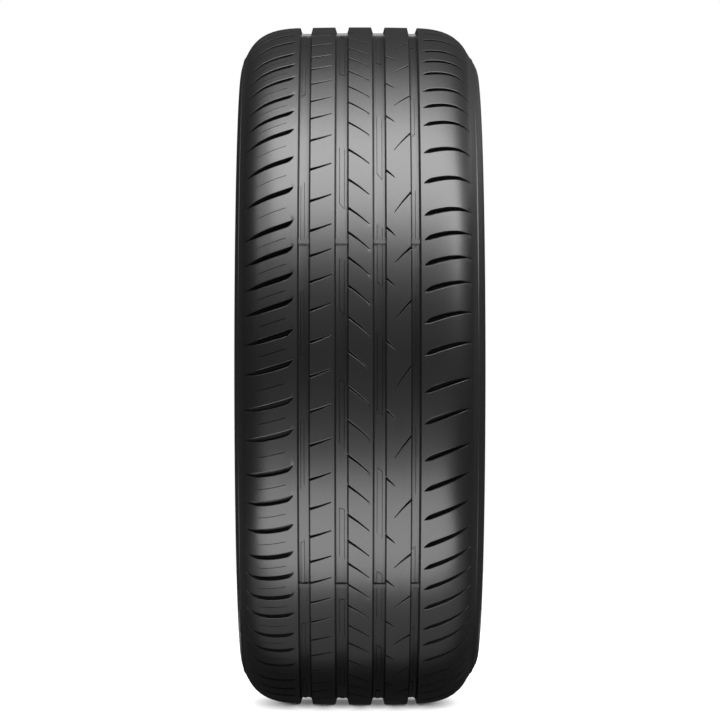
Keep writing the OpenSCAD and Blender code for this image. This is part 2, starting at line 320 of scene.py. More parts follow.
    def bead(self) -> np.ndarray:
        """The rim protector, the flange face, the round heel, the seat and the toe.

        The protector's two corners are rounded over three points each, by small steps from its face.

        Returns:
            Points from the protector's upper corner to the toe, with the distance from the middle first.
        """
        top = self.protector + [0, self.protector_face_w / 2]
        low = self.protector - [0, self.protector_face_w / 2]
        face = np.array([self.rim_half_w, self.wall_at(self.flange_face_share)])
        crest = np.array([top + [-0.35, 2.2], top + [-0.1, 0.5], top - [0, 0.6],
                          low + [0, 0.6], low + [-0.15, 0.1], low + [-0.7, -0.5]])
        under = bend(crest[-1], low + [-8, -4], face + [0, 7], face, even(5))
        turn = np.radians(np.linspace(0, 90, 6))
        heel = np.column_stack([self.rim_half_w - self.heel_r + self.heel_r * np.cos(turn),
                                self.seat_r + self.heel_r - self.heel_r * np.sin(turn)])
        seat_end = self.rim_half_w - self.heel_r - self.seat_len
        toe = seat_end - self.toe_len
        sole = np.array([[seat_end, self.seat_r], [toe + 0.8, self.seat_r - self.toe_drop],
                         [toe, self.seat_r + 0.6]])
        return np.vstack([crest, under, heel, sole])

    def liner(self, side: int) -> np.ndarray:
        """The inner surface from the bead's toe, up the wall and over under the crown.

        Four cubic curves and a straight line run through points that stand a thickness inside the outer
        surface. The shoulder's thickness is measured square to its curve at three quarters of its way.

        Args:
            side: 1 for the right-hand side, -1 for the left.

        Returns:
            Points from above the toe to the middle of the crown, with the distance from the middle first.
        """
        bead_top = self.seat_r + (self.protector[1] - self.seat_r) * self.bead_top_share
        bead = np.array([self.rim_half_w - self.bead_t, bead_top])
        apex = self.protector - [self.protector_t, 0]
        before, place, after = self.shoulder(side, np.array([0.74, 0.75, 0.76]))
        run = after - before
        normal = np.array([-run[1], run[0]]) / np.linalg.norm(run)
        shoulder = place - normal * self.shoulder_t
        wall_mid = apex[1] + (shoulder[1] - apex[1]) * self.wall_mid_share
        wall = np.array([self.half_w - self.sidewall_t, wall_mid])
        crown = self.shoulder(side, np.array([0.0]))[0] - [0, self.crown_t]
        middle = np.array([0.0, self.outer_r - self.crown_t])
        return np.vstack([
            bend(bead, bead + [1.5, 6], apex + [-3.5, -5], apex, np.linspace(0, 1, 4)),
            bend(apex, apex + [5, 7], wall + [0, -10], wall, even(4)),
            bend(wall, wall + [0, 12], shoulder + [7, -4], shoulder, even(4)),
            bend(shoulder, shoulder + [-7, 4], crown + [12, 0], crown, even(3)),
            crown + (middle - crown) * even(2)[:, None]])


@dataclass(frozen=True)
class Pitches:
    """The tread's repeats around the tyre, in short, middle and long lengths.

    The order has a letter for each pitch: S, M or L. It starts at first_angle and goes down. Its first
    part was read on the side that faces the viewer, and the second part goes on in the same manner.
    """

    order: str = "SSMSSLLLSSSMMLMLMMMSSSMSML" + "SSLMSSMLLSSSMLSSSLSMSSSMSLSSMLMSSLSSMLLSMSSLMSML"
    short: float = 0.85
    long: float = 1.18
    first_angle: float = 64.5

    @property
    def weights(self) -> np.ndarray:
        """Each pitch's length against a middle one."""
        return np.array([{"S": self.short, "M": 1.0, "L": self.long}[letter] for letter in self.order])

    @property
    def lengths(self) -> np.ndarray:
        """Each pitch's length in degrees."""
        return self.weights * 360 / self.weights.sum()

    def angles(self, share: float = 0.0) -> np.ndarray:
        """The angle of a place within each pitch, going down from the first pitch's upper end.

        Args:
            share: how far down its own pitch the place is, from 0 to 1.

        Returns:
            One angle per pitch.
        """
        upper = self.first_angle - np.concatenate([[0], np.cumsum(self.lengths)[:-1]])
        return upper - share * self.lengths

    def angle_of(self, place: np.ndarray) -> np.ndarray:
        """The angle of places counted in pitches from the first pitch's upper end.

        Args:
            place: the places, in pitches.

        Returns:
            The angles.
        """
        ends = self.first_angle - np.concatenate([[0], np.cumsum(self.lengths)])
        whole, rest = np.divmod(place, len(self.order))
        return np.interp(rest, np.arange(len(ends)), ends) - 360 * whole


@dataclass(frozen=True)
class Cut:
    """A slot cut across the tread, described at stations along its way.

    reach is the distance from start_y in the direction of side. Between the stations, width, depth and
    drift follow straight lines. drift is how far the cut's middle has moved around the tread, and a
    stretched cut's drift grows and shrinks with its pitch. share is the cut's place in its pitch. lag is
    how many degrees the cut stays behind that place. late is added to the lag near the angle LATE_AT, and
    fades as a bell curve with a width of LATE_SPAN degrees.
    """

    start_y: float
    side: int
    reach: Numbers
    width: Numbers
    depth: Numbers
    drift: Numbers
    share: float
    lag: float = 0.0
    late: float = 0.0
    hairline: bool = False
    stretched: bool = False

    LATE_AT = 16.0
    LATE_SPAN = 9.0

    def lines(self, y: np.ndarray, pitches: Pitches, radius: float) -> Triple:
        """The cut's middle, half width and depth at each lateral place.

        Args:
            y: lateral places.
            pitches: the tread's repeats.
            radius: the radius that distances around are measured at.

        Returns:
            The middle's angle per pitch and place, then the half width and the depth per place.
        """
        along = (y - self.start_y) * self.side
        half = np.interp(along, self.reach, self.width) / 2
        depth = np.interp(along, self.reach, self.depth)
        drift = degrees_at(np.interp(along, self.reach, self.drift), radius)
        stretch = pitches.weights if self.stretched else np.ones(len(pitches.order))
        place = pitches.angles(self.share)
        late = self.late * np.exp(-((place - self.LATE_AT) / self.LATE_SPAN)**2)
        start = place - self.lag - late
        return start[:, None] + drift[None, :] * stretch[:, None], half, depth


@dataclass(frozen=True)
class Strip:
    """A rib or shoulder of the tread: its columns, and the cuts that repeat along it.

    Each row of cuts holds the cuts that take turns from pitch to pitch. upper_edge and lower_edge say how
    far a cut's rounded edges reach around the tread and inwards. wall_lean is how much narrower the floor
    is on each side, though never by more than lean_limit of the cut's half width. LINES is how many of
    the mesh's lines each pitch has.
    """

    name: str
    columns: Numbers
    rows: tuple[tuple[Cut, ...], ...]
    upper_edge: Numbers = (0.3, 0.16)
    lower_edge: Numbers = (0.15, 0.12)
    edge_gap: float = 0.1
    wall_lean: float = 0.55
    lean_limit: float = 0.45

    LINES = 12
    FULL_EDGE_DEPTH = 2

    def _row(self, row: tuple[Cut, ...], y: np.ndarray, pitches: Pitches, radius: float) -> Pair:
        """The angles and depths of the lines that one row of cuts needs.

        An open cut has six lines: rounded edge, edge and floor on each side. Where it is shallower than
        FULL_EDGE_DEPTH, its edges are less rounded. A hairline has three lines: edge, bottom, edge.

        Args:
            row: the cuts that take turns.
            y: the columns' lateral places.
            pitches: the tread's repeats.
            radius: the radius that distances around are measured at.

        Returns:
            Angles and depths, each with axes pitch, line and column, from the upper line down.
        """
        turns = [cut.lines(y, pitches, radius) for cut in row]
        pick = np.arange(len(pitches.order)) % len(row)
        middle = np.stack([turn[0] for turn in turns])[pick, np.arange(len(pick))]
        half = np.stack([turn[1] for turn in turns])[pick]
        depth = np.stack([turn[2] for turn in turns])[pick]
        if row[0].hairline:
            offsets = np.stack([half, half * 0, -half], axis=1)
            depths = np.stack([depth * 0, depth, depth * 0], axis=1)
        else:
            cutting = np.clip(depth / self.FULL_EDGE_DEPTH, 0, 1)
            lean = np.minimum(self.wall_lean, half * self.lean_limit)
            upper = half + self.edge_gap + self.upper_edge[0] * cutting
            lower = half + self.edge_gap + self.lower_edge[0] * cutting
            offsets = np.stack([upper, half, half - lean, lean - half, -half, -lower], axis=1)
            depths = np.stack([depth * 0, self.upper_edge[1] * cutting, depth, depth,
                               self.lower_edge[1] * cutting, depth * 0], axis=1)
        return middle[:, None, :] + degrees_at(offsets, radius), depths

    def grid(self, pitches: Pitches, radius: float) -> Pair:
        """All lines of the strip: the cuts' own, and evenly spaced ones between them.

        Args:
            pitches: the tread's repeats.
            radius: the radius that distances around are measured at.

        Returns:
            Angles and depths, each with axes pitch, line and column.
        """
        y = np.array(self.columns)
        groups = [self._row(row, y, pitches, radius) for row in self.rows]
        spare = self.LINES - sum(group[0].shape[1] for group in groups)
        share = [spare // len(groups) + (k < spare % len(groups)) for k in range(len(groups))]
        angles, depths = [], []
        for k, (angle, depth) in enumerate(groups):
            if k + 1 < len(groups):
                after = groups[k + 1][0][:, 0]
            else:
                after = np.roll(groups[0][0][:, 0], -1, axis=0)
                after[-1] -= 360
            steps = (np.arange(1, share[k] + 1) / (share[k] + 1))[None, :, None]
            last = angle[:, -1:]
            angles += [angle, last + (after[:, None] - last) * steps]
            depths += [depth, np.zeros((len(angle), share[k], len(y)))]
        return np.concatenate(angles, axis=1), np.concatenate(depths, axis=1)


@dataclass(frozen=True)
class Groove:
    """A main groove that runs all the way around the tread.

    runs, fillets and feet are each given for the left wall and then the right one: how far the wall leans
    over, how far the gentle slope at its foot reaches over the floor, and how high that slope rises.
    """

    y: float
    width: float
    depth: float = 6.4
    runs: Numbers = (1.8, 1.6)
    fillets: Numbers = (1.3, 2.2)
    feet: Numbers = (0.42, 0.7)

    @property
    def left(self) -> float:
        """The lateral place of the groove's left edge."""
        return self.y - self.width / 2

    @property
    def right(self) -> float:
        """The lateral place of the groove's right edge."""
        return self.y + self.width / 2

    def profile(self) -> Pair:
        """The groove's four floor columns, from the left wall's foot to the right wall's foot.

        Returns:
            Their lateral places, and how deep each lies.
        """
        places = np.array([self.left + self.runs[0], self.left + self.runs[0] + self.fillets[0],
                           self.right - self.runs[1] - self.fillets[1], self.right - self.runs[1]])
        return places, self.depth - np.array([self.feet[0], 0, 0, self.feet[1]])


FAR_LEFT = Groove(-51.0, 12.0)
NEAR_LEFT = Groove(-16.7, 13.2)
NEAR_RIGHT = Groove(17.9, 13.0)
FAR_RIGHT = Groove(50.9, 9.6, runs=(1.4, 2.0), fillets=(1.2, 2.2))
GROOVES = (FAR_LEFT, NEAR_LEFT, NEAR_RIGHT, FAR_RIGHT)


@dataclass(frozen=True)
class TyreBody:
    """The whole moulded tyre: tread, sidewalls, beads and inner liner as one closed surface.

    A shoulder slot's drift along its way is its start and its fall or rise times a curve, which has a
    linear and a cubic part. SLOT_DEPTHS holds the slots' depths at their stations, CARRIED which of a
    pitch's lines the casing carries on, and GROOVE_BLEND how far a groove's columns have gone over from
    the angles of the strip before it to those of the strip after it.
    """

    section: Section
    pitches: Pitches = field(default_factory=Pitches)
    rib_cut_depth: float = 5.0
    rib_cut_w: float = 2.6
    rib_cut_end_w: float = 0.9
    slot_land: float = 1.3
    left_slot_gap: float = 3.5
    left_slot_start: float = 3.2
    left_slot_fall: float = 13.8
    left_slot_curve: Numbers = (0.86, 0.14)
    left_slot_late: float = 0.4
    right_slot_gap: float = 2.6
    right_slot_start: float = -2.6
    right_slot_rise: float = 14.1
    right_slot_curve: Numbers = (1.1, -0.1)
    shoulder_lag: float = 1.5
    fine_cut_inset: float = 39.6
    fine_cut_lead: float = 2.0
    fine_cut_late: float = 0.45
    edge_step: float = 0.6

    SLOT_DEPTHS = (0, 0, 4.4, 6, 6, 6, 6, 5.2, 2.2, 0.8, 0)
    CARRIED = (0, 7, 10)
    EASE_COLUMNS = 6
    GROOVE_BLEND = (0, 0.3, 0.7, 1)

    def left_shoulder(self) -> Strip:
        """The left shoulder, with one pointed slot and one hairline in every pitch.

        The slot's upper edge falls along its curve, with a small hook at the tip, and the slot's middle
        lies half a width below that edge. The hairline falls evenly by the same amount over that length.

        Returns:
            The strip.
        """
        tip = FAR_LEFT.left - self.left_slot_gap
        edge = self.section.edge(-1)[0]
        end = tip + edge - self.slot_land
        reach = (-0.1, 0, 0.7, 2.5, 4.8, 9, 21, 33, end - 5, end - 2, end)
        width = (0.4, 0.4, 1.9, 3.9, 5.2, 5.3, 5.2, 4.4, 2.6, 1.2, 0.4)
        t = np.clip(reach, 0, None) / end
        hook = np.interp(reach, (0, 4, 8, 15), (0.7, 0.6, 0.1, -0.1))
        linear, cubic = self.left_slot_curve
        upper = self.left_slot_start - self.left_slot_fall * (linear * t + cubic * t**3) + hook
        slot = Cut(tip, -1, reach, width, self.SLOT_DEPTHS, tuple(upper - np.array(width) / 2),
                   share=0.0, lag=self.shoulder_lag, late=self.left_slot_late)
        fine_reach = (0, 0.5, 22, 26.5)
        fine_drift = -self.left_slot_fall / end * (np.array(fine_reach) + self.fine_cut_lead)
        fine = Cut(self.fine_cut_inset - edge, -1, fine_reach, (0.4, 0.6, 0.6, 0.3), (0, 2.4, 2.4, 0),
                   tuple(fine_drift), share=0.5, lag=self.shoulder_lag, late=self.fine_cut_late,
                   hairline=True)
        columns = (-edge, tip - end, tip - end + 2, tip - end + 5, -97, -93.7, -89.2, -84, -78.5, -73,
                   -67.7, -67.2, tip - 4.8, tip - 2.5, tip - 0.7, tip, FAR_LEFT.left - self.edge_step,
                   FAR_LEFT.left)
        return Strip("left_shoulder", columns, ((slot,), (fine,)))

    def right_shoulder(self) -> Strip:
        """The right shoulder, with one chisel-ended slot in every pitch.

        The slot's lower edge rises along its curve, and near the tip it stays above a limit. The slot's
        middle lies half a width above that edge.

        Returns:
            The strip.
        """
        tip = FAR_RIGHT.right + self.right_slot_gap
        edge = self.section.edge(1)[0]
        end = edge - self.slot_land - tip
        reach = (-0.1, 0, 0.6, 2.7, 5.4, 9.5, 21, 33, end - 5, end - 2, end)
        width = (0.4, 0.4, 1.2, 3.1, 5.0, 5.1, 4.7, 3.5, 2.2, 1.1, 0.4)
        t = np.clip(reach, 0, None) / end
        linear, cubic = self.right_slot_curve
        lower = self.right_slot_start + self.right_slot_rise * (linear * t + cubic * t**3)
        lower = np.maximum(lower, np.interp(reach, (0, 0.6, 2.7, 5.4), (-1.2, -1.2, -1.0, -0.8)))
        slot = Cut(tip, 1, reach, width, self.SLOT_DEPTHS, tuple(lower + np.array(width) / 2), share=0.0)
        columns = (FAR_RIGHT.right, FAR_RIGHT.right + self.edge_step, tip, tip + 0.6, tip + 2.7,
                   tip + 5.4, tip + 9, 71.5, 76, 81, 86, 91, tip + end - 5, tip + end - 2, tip + end, edge)
        return Strip("right_shoulder", columns, ((slot,),))

    def rib_cut(self, edge: float, side: int, length: float, rise: float, share: float,
                stretched: bool = False) -> Cut:
        """A tapering cut that opens into a groove's wall and runs across a rib.

        Args:
            edge: the lateral place of the groove's edge.
            side: 1 if the cut runs to the right, -1 if it runs to the left.
            length: its length across the rib.
            rise: how far it rises around the tread on its way.
            share: its closed end's place in its pitch.
            stretched: whether its rise grows and shrinks with its pitch.

        Returns:
            The cut.
        """
        reach = (0, length * 0.5, length - 0.5, length, length + 2.5)
        width = (self.rib_cut_w, self.rib_cut_w * 0.7, self.rib_cut_end_w, self.rib_cut_end_w * 0.8, 0.4)
        depth = (self.rib_cut_depth, self.rib_cut_depth, self.rib_cut_depth * 0.8, 0, 0)
        drift = (-rise, -rise * 0.54, -rise * 0.5 / length, 0, 0)
        return Cut(edge, side, reach, width, depth, drift, share, stretched=stretched)

    def ribs(self) -> tuple[Strip, Strip, Strip]:
        """The three middle ribs, with their cuts.

        The right rib's notch and long cut take turns from pitch to pitch.

        Returns:
            The left rib, the middle rib and the right rib.
        """
        left, right = FAR_LEFT.right, NEAR_LEFT.left
        cut = self.rib_cut(left, side=1, length=19.2, rise=7, share=0.39)
        columns = (left, left + self.edge_step, -41.2, -37.2, -33.2, -29.4, left + 18.7, left + 19.2,
                   right - self.edge_step, right)
        left_rib = Strip("left_rib", columns, ((cut,),))
        left, right = NEAR_LEFT.right, NEAR_RIGHT.left
        cut = self.rib_cut(left, side=1, length=18.8, rise=-16, share=0.405)
        columns = (left, left + self.edge_step, -6.4, -2.6, 1.2, 5, left + 18.3, left + 18.8,
                   right - self.edge_step, right)
        middle_rib = Strip("middle_rib", columns, ((cut,),))
        left, right = NEAR_RIGHT.right, FAR_RIGHT.left
        notch = self.rib_cut(left, side=1, length=7.5, rise=-7.4, share=0.858)
        long_cut = self.rib_cut(right, side=-1, length=14.8, rise=-17.5, share=0.94, stretched=True)
        columns = (left, left + self.edge_step, 26.8, 29.2, right - 14.8, left + 7.5, 34.5, 38, 42,
                   right - self.edge_step, right)
        right_rib = Strip("right_rib", columns, ((notch, long_cut),))
        return left_rib, middle_rib, right_rib

    def tread(self) -> Triple:
        """The tread's surface, from its left edge to its right edge.

        A strip's point is its surface point moved inwards along the surface's normal by the cut's depth.
        A groove's four columns stand at its depth, and their angles go over from one strip's lines to the
        next strip's as GROOVE_BLEND says.

        Returns:
            Angles, lateral places and radii, each with axes line and column.
        """
        left_rib, middle_rib, right_rib = self.ribs()
        strips = (self.left_shoulder(), left_rib, middle_rib, right_rib, self.right_shoulder())
        radius = self.section.outer_r
        count = len(self.pitches.order)
        angles, places, radii = [], [], []
        for index, strip in enumerate(strips):
            angle, depth = strip.grid(self.pitches, radius)
            if index:
                before = angles[-1][:, :, -1]
                shift = round(float((angle[:, :, 0] - before).mean()) / 360 * count)
                turn = np.arange(count) + shift
                angle = angle[turn % count] - 360.0 * (turn // count)[:, None, None]
                depth = depth[turn % count]
                groove = GROOVES[index - 1]
                y, deep = groove.profile()
                blend = np.array(self.GROOVE_BLEND)
                shape = (count, Strip.LINES, len(y))
                angles.append(before[:, :, None] * (1 - blend) + angle[:, :, :1] * blend)
                places.append(np.broadcast_to(y, shape))
                radii.append(np.broadcast_to(self.section.crown_at(groove.y) - deep, shape))
            point, normal = self.section.surface(np.array(strip.columns))
            angles.append(angle)
            places.append(point[:, 0] - depth * normal[:, 0])
            radii.append(point[:, 1] - depth * normal[:, 1])
        lines = count * Strip.LINES
        angle, y, r = (np.concatenate(part, axis=2).reshape(lines, -1)
                       for part in (angles, places, radii))
        return angle, y, r

    def casing(self, left_angles: np.ndarray, right_angles: np.ndarray) -> Triple:
        """Everything but the tread, from the tread's right edge round to its left one.

        The outline goes over the sidewall, the bead and the liner, and back in the other order. At each
        end the angles are the tread's own, and over the next columns they ease to an even spacing.

        Args:
            left_angles: the angles to meet at the tread's left edge.
            right_angles: the angles to meet at its right edge.

        Returns:
            Angles, lateral places and radii, each with axes line and column.
        """
        section = self.section
        right, left = (np.vstack([section.sidewall(side), section.bead(), section.liner(side)])
                       for side in (1, -1))
        loop = np.vstack([right, (left * [-1, 1])[::-1][1:]])
        count = len(right_angles)
        spacing = (np.arange(count) - (count - 1) / 2) * 360 / count
        even_right = right_angles.mean() - spacing
        even_left = left_angles.mean() - spacing
        ease = np.clip((np.arange(len(loop)) + 1) / self.EASE_COLUMNS, 0, 1)
        shift = np.linspace(0, 1, len(loop))
        regular = even_right[:, None] * (1 - shift) + even_left[:, None] * shift
        angle = right_angles[:, None] * (1 - ease) + regular * ease
        back = ease[::-1]
        angle = left_angles[:, None] * (1 - back) + angle * back
        return angle, np.broadcast_to(loop[:, 0], angle.shape), np.broadcast_to(loop[:, 1], angle.shape)

    def build(self) -> bpy.types.Object:
        """Joins the tread to the casing, which has fewer lines, and presses the contact flat.

        A vertex stands at (r cos a, y, r sin a). Where the tread meets the casing, one face takes all of
        the tread's vertices that lie between two of the casing's.

        Returns:
            The tyre's object.
        """
        angle, y, r = self.tread()
        lines, tread_columns = angle.shape
        pitch_starts = np.arange(len(self.pitches.order)) * Strip.LINES
        kept = (pitch_starts[:, None] + np.array(self.CARRIED)).ravel()
        c_angle, c_y, c_r = self.casing(angle[kept, 0], angle[kept, -1])
        c_lines, c_columns = c_angle.shape
        a = np.radians(np.concatenate([angle.ravel(), c_angle.ravel()]))
        radius = np.concatenate([r.ravel(), c_r.ravel()])
        places = np.concatenate([y.ravel(), c_y.ravel()])
        points = np.column_stack([radius * np.cos(a), places, radius * np.sin(a)])
        points[:, 2] = np.maximum(points[:, 2], -self.section.contact_r)

        fine = np.arange(lines * tread_columns).reshape(lines, tread_columns)
        coarse = lines * tread_columns + np.arange(c_lines * c_columns).reshape(c_lines, c_columns)
        faces = self._quads(fine) + self._quads(coarse)
        faces += self._seam(fine[:, -1], coarse[:, 0], kept, left=False)
        faces += self._seam(fine[:, 0], coarse[:, -1], kept, left=True)
        outside = len(self.section.sidewall(1)) + len(self.section.bead())
        strip_skins = np.full((c_lines, c_columns - 1), Skin.SIDEWALL.value)
        strip_skins[:, outside - 1:c_columns - outside] = Skin.LINER.value
        skins = np.concatenate([np.full(lines * (tread_columns - 1), Skin.TREAD.value),
                                strip_skins.ravel(), np.full(2 * c_lines, Skin.SIDEWALL.value)])
        return mesh_object("tyre_moulding", points, faces, skins)

    @staticmethod
    def _quads(grid: np.ndarray) -> Faces:
        """The four-cornered faces of a grid of vertex numbers whose lines close into a ring.

        Args:
            grid: vertex numbers with axes line and column.

        Returns:
            The faces.
        """
        here, there = grid, np.roll(grid, -1, axis=0)
        quads = np.stack([here[:, :-1], here[:, 1:], there[:, 1:], there[:, :-1]], axis=-1)
        return quads.reshape(-1, 4).tolist()

    @staticmethod
    def _seam(fine: np.ndarray, coarse: np.ndarray, kept: np.ndarray, left: bool) -> Faces:
        """The faces between the tread's edge and the casing's first column.

        Args:
            fine: the vertex numbers along the tread's edge.
            coarse: the vertex numbers along the casing's column.
            kept: which of the tread's lines the casing carries on.
            left: whether this is the left edge, whose faces turn the other way.

        Returns:
            The faces.
        """
        faces = []
        count = len(coarse)
        for k in range(count):
            start, stop = kept[k], kept[(k + 1) % count]
            span = np.arange(start, stop + 1 if stop > start else stop + 1 + len(fine)) % len(fine)
            face = fine[span].tolist() + [int(coarse[(k + 1) % count]), int(coarse[k])]
            faces.append(face if left else face[::-1])
        return faces


@dataclass(frozen=True)
class WearBars:
    """The low blocks that stand across the main grooves, at six places around the tyre.

    sink is how far they reach into a groove's floor, and overlap how far into its walls.
    """

    section: Section
    angles: Numbers = (20.4, 80.0, 143.0, 205.0, 264.0, 321.7)
    height: float = 2.0
    length: float = 4.6
    sink: float = 1.0
    overlap: float = 0.2

    def build(self) -> bpy.types.Object:
        """One closed block per groove and place.

        Its outline, a flat top with a steep upper flank and a longer lower one, is carried from wall to
        wall. A point (s, h) of the outline stands at the angle s over the floor's radius, and at that
        radius plus h.

        Returns:
            The bars' object.
        """
        half = self.length / 2
        top = self.height
        outline = np.array([[-half - 1.4, -self.sink], [-half - 1.1, 0.1], [-half - 0.1, top - 0.4],
                            [-half + 0.3, top], [half - 0.5, top], [half - 0.1, top - 0.3],
                            [half + 0.3, 0.1], [half + 0.5, -self.sink]])
        count = len(outline)
        points, faces = [], []
        ring = np.arange(count)
        after = (ring + 1) % count
        for groove in GROOVES:
            floor = float(self.section.crown_at(groove.y)) - groove.depth
            reach = groove.width / 2 + self.overlap
            for place in self.angles:
                a = np.radians(place) + outline[:, 0] / floor
                r = floor + outline[:, 1]
                first = len(points) * 2 * count
                ends = [np.column_stack([r * np.cos(a), np.full(count, wall), r * np.sin(a)])
                        for wall in (groove.y - reach, groove.y + reach)]
                points.append(np.vstack(ends))
                faces += (first + np.column_stack([ring, after, after + count, ring + count])).tolist()
                faces += [(first + ring[::-1]).tolist(), (first + count + ring).tolist()]
        return mesh_object("wear_bars", np.vstack(points), faces)


@dataclass(frozen=True)
class PadRow:
    """One row of low pads on a groove's floor.

    left and right are its sides' lateral places. A pad runs from start to stop, in pitches, each given
    for its left and its right side.
    """

    groove: Groove
    left: float
    right: float
    start: Numbers
    stop: Numbers


@dataclass(frozen=True)
class FloorPads:
    """The low slanted pads that stand on the main grooves' floors, one in every few pitches.

    sink is how far they reach into the floor, and lean how far each long side spreads at its foot.
    """

    section: Section
    pitches: Pitches = field(default_factory=Pitches)
    height: float = 0.5
    sink: float = 0.5
    lean: float = 0.9
    every: int = 4
    rows: tuple[PadRow, ...] = (
        PadRow(FAR_LEFT, -53.5, -50.8, (7.0, 6.9), (9.05, 8.9)),
        PadRow(NEAR_LEFT, -18.4, -14.4, (5.7, 5.75), (7.57, 7.73)),
        PadRow(NEAR_RIGHT, 15.8, 20.0, (4.3, 4.45), (6.6, 6.8)),
        PadRow(FAR_RIGHT, 47.4, 50.2, (3.3, 3.15), (5.3, 5.2)),
    )

    STEPS = 10

    def build(self) -> bpy.types.Object:
        """One closed pad per row and place.

        Each pad's four long edges run at even steps between its two ends, as rings of four corners:
        bottom left, top left, top right, bottom right.

        Returns:
            The pads' object.
        """
        share = np.arange(self.STEPS + 1) / self.STEPS
        points, faces = [], []
        per_pad = 4 * (self.STEPS + 1)
        ring = np.arange(4)
        after = (ring + 1) % 4
        for row in self.rows:
            floor = float(self.section.crown_at(row.groove.y)) - row.groove.depth
            y = np.array([row.left - self.lean, row.left, row.right, row.right + self.lean])
            r = floor + np.array([-self.sink, self.height, self.height, -self.sink])
            for number in range(len(self.pitches.order) // self.every):
                shift = number * self.every
                left = shift + row.start[0] + share * (row.stop[0] - row.start[0])
                right = shift + row.start[1] + share * (row.stop[1] - row.start[1])
                a = np.radians(self.pitches.angle_of(np.stack([left, left, right, right], axis=1)))
                pad = np.stack([r * np.cos(a), np.broadcast_to(y, a.shape), r * np.sin(a)], axis=-1)
                first = len(points) * per_pad
                points.append(pad.reshape(-1, 3))
                start = first + 4 * np.arange(self.STEPS)[:, None]
                corners = [start + ring, start + after, start + after + 4, start + ring + 4]
                sides = np.stack(corners, axis=-1)
                faces += sides.reshape(-1, 4).tolist()
                faces += [(first + ring[::-1]).tolist(), (first + per_pad - 4 + ring).tolist()]
        return mesh_object("groove_floor_pads", np.vstack(points), faces)


def math_node(nodes: bpy.types.Nodes, operation: str, value: float | None = None) -> bpy.types.Node:
    """Adds a math node, with a constant on its second input if a value is given.

    Args:
        nodes: the nodes of a material or a group.
        operation: the name of the sum it does.
        value: the constant.

    Returns:
        The node.
    """
    node = nodes.new("ShaderNodeMath")
    node.operation = operation
    if value is not None:
        node.inputs[1].default_value = value
    return node


@dataclass(frozen=True)
class Rubber:
    """A black moulded rubber: its colour, gloss and grain.

    grain is the bump's strength, bump_depth its height in metres, and mottle how far the colour and the
    gloss swing in soft patches.
    """

    name: str
    colour: Numbers
    roughness: float
    grain: float
    mottle: float
    specular: float = 0.5
    bump_depth: float = 0.0002

    def build(self, group: bpy.types.NodeTree) -> bpy.types.Material:
        """Makes the material, with colour, roughness and bump from the shared grain group.

        Args:
            group: the node group that gives the grain.

        Returns:
            The material.
        """
        material = bpy.data.materials.new(self.name)
        material.use_nodes = True
        nodes, links = material.node_tree.nodes, material.node_tree.links
        shader = nodes["Principled BSDF"]
        shader.inputs["Specular IOR Level"].default_value = self.specular
        place = nodes.new("ShaderNodeTexCoord")
        grain = nodes.new("ShaderNodeGroup")
        grain.node_tree = group
        grain.inputs["Colour"].default_value = (*self.colour, 1)
        grain.inputs["Roughness"].default_value = self.roughness
        grain.inputs["Mottle"].default_value = self.mottle
        bump = nodes.new("ShaderNodeBump")
        bump.inputs["Strength"].default_value = self.grain
        bump.inputs["Distance"].default_value = self.bump_depth
        links.new(place.outputs["Object"], grain.inputs["Vector"])
        links.new(grain.outputs["Colour"], shader.inputs["Base Color"])
        links.new(grain.outputs["Roughness"], shader.inputs["Roughness"])
        links.new(grain.outputs["Height"], bump.inputs["Height"])
        links.new(bump.outputs["Normal"], shader.inputs["Normal"])
        return material


